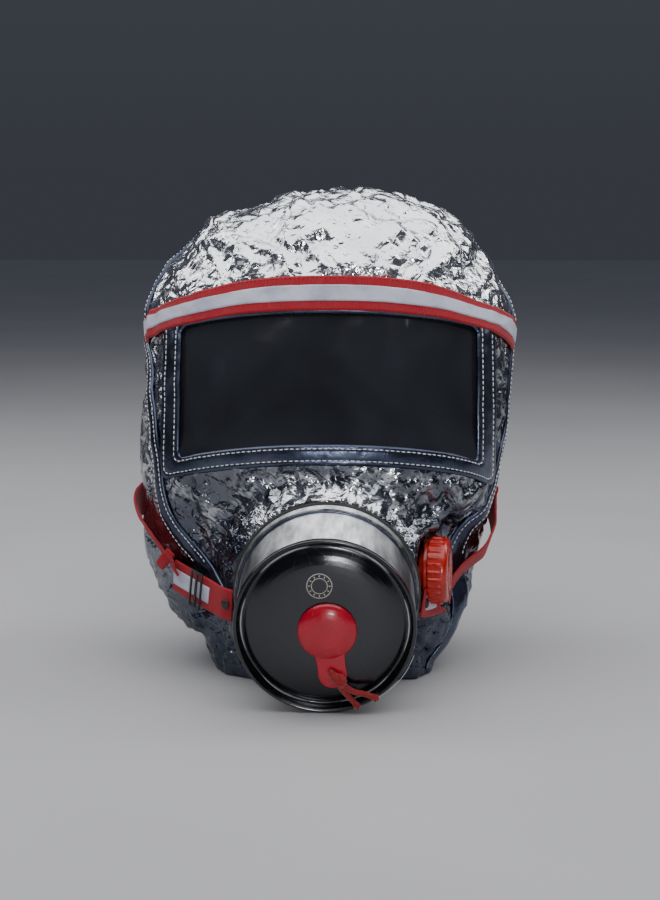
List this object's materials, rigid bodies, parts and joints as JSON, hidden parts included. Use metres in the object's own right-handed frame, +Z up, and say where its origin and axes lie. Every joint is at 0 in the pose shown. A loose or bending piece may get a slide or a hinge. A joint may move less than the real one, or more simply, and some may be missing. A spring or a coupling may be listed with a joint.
{
  "type": "smoke hood",
  "caption": "Aluminised cloth smoke hood with a clear window, a round filter canister with a pull-out plug, an exhalation valve and an adjustable head strap.",
  "frame": {"origin": "centre of the bounding box's underside: the floor point midway between the sides and midway between canister front and hood back", "axes": "+Z up, canister and window face -Y, +X towards the wearer's left"},
  "size_m": [0.2486, 0.2914, 0.3099],
  "materials": {
    "aluminised_cloth": "bright aluminised cloth",
    "foil_edge": "smooth folded aluminised cloth",
    "lining": "matt dark lining",
    "visor": "clear glossy film",
    "red_webbing": "woven red webbing",
    "reflective": "pale reflective weave",
    "can_steel": "brushed",
    "can_lid": "polished",
    "dark_steel": "satin",
    "black_rubber": "matt",
    "red_rubber": "glossy",
    "red_plastic": "glossy",
    "red_cord": "twisted cord",
    "black_plastic": "satin",
    "mask_rubber": "satin",
    "silicone": "satin",
    "granules_black": "granular",
    "granules_pale": "granular",
    "granules_brown": "granular",
    "filter_paper": "pleated paper"
  },
  "bodies": {
    "hood": {"hood_front_panel": "aluminised_cloth", "hood_back_panel": "aluminised_cloth", "front_lining": "lining", "back_lining": "lining", "visor_window": "visor", "window_border": "foil_edge", "forehead_tape": "red_webbing", "forehead_reflective_stripe": "reflective", "seam_binding": "foil_edge", "neck_seal": "black_rubber", "neck_elastic": "black_rubber", "can_shell": "can_steel", "can_rear_cover": "dark_steel", "can_front_lid": "can_lid", "can_collar": "foil_edge", "clamp_hoop": "can_steel", "clamp_screw": "dark_steel", "rear_gasket": "black_rubber", "rear_screen": "dark_steel", "carbon_bed": "granules_black", "bed_screen": "dark_steel", "desiccant_bed": "granules_pale", "catalyst_bed": "granules_brown", "filter_support_screen": "dark_steel", "particulate_filter": "filter_paper", "front_screen": "dark_steel", "retaining_spring": "dark_steel", "inhale_valve_seat": "black_plastic", "half_mask": "mask_rubber", "mask_lock_ring": "black_plastic", "exhale_valve_body": "black_plastic", "exhale_valve_nut": "black_plastic", "left_strap": "red_webbing", "right_strap": "red_webbing", "rear_head_strap": "red_webbing", "left_strap_stripe": "reflective", "left_strap_rivet": "dark_steel", "right_strap_rivet": "dark_steel", "rear_strap_loop": "foil_edge"},
    "inlet_plug": {"inlet_plug": "red_rubber", "plug_cord": "red_cord"},
    "outlet_plug": {"outlet_plug": "red_rubber"},
    "inhale_flap": {"inhale_valve_flap": "silicone"},
    "exhale_flap": {"exhale_valve_flap": "silicone"},
    "exhale_cap": {"exhale_valve_cap": "red_plastic"},
    "slider": {"left_slider": "black_plastic"}
  },
  "joints": [
    {"name": "inlet_plug_pull", "type": "slide", "parent": "hood", "child": "inlet_plug", "axis": [0, -0.9903, -0.1392], "range_m": [0, 0.025]},
    {"name": "outlet_plug_pull", "type": "slide", "parent": "hood", "child": "outlet_plug", "axis": [0, 0.9903, 0.1392], "range_m": [0, 0.02]},
    {"name": "inhale_flap_lift", "type": "slide", "parent": "hood", "child": "inhale_flap", "axis": [0, 0.9903, 0.1392], "range_m": [0, 0.002]},
    {"name": "exhale_flap_lift", "type": "slide", "parent": "hood", "child": "exhale_flap", "axis": [0.9903, -0.1392, 0], "range_m": [0, 0.002]},
    {"name": "exhale_cap_twist", "type": "hinge", "parent": "hood", "child": "exhale_cap", "pos_m": [0.0615, -0.05288, 0.0715], "axis": [0.9903, -0.1392, 0], "range_deg": [0, 40]},
    {"name": "slider_adjust", "type": "slide", "parent": "hood", "child": "slider", "axis": [-0.685, 0.6923, 0.2271], "range_m": [-0.01, 0.01]}
  ]
}
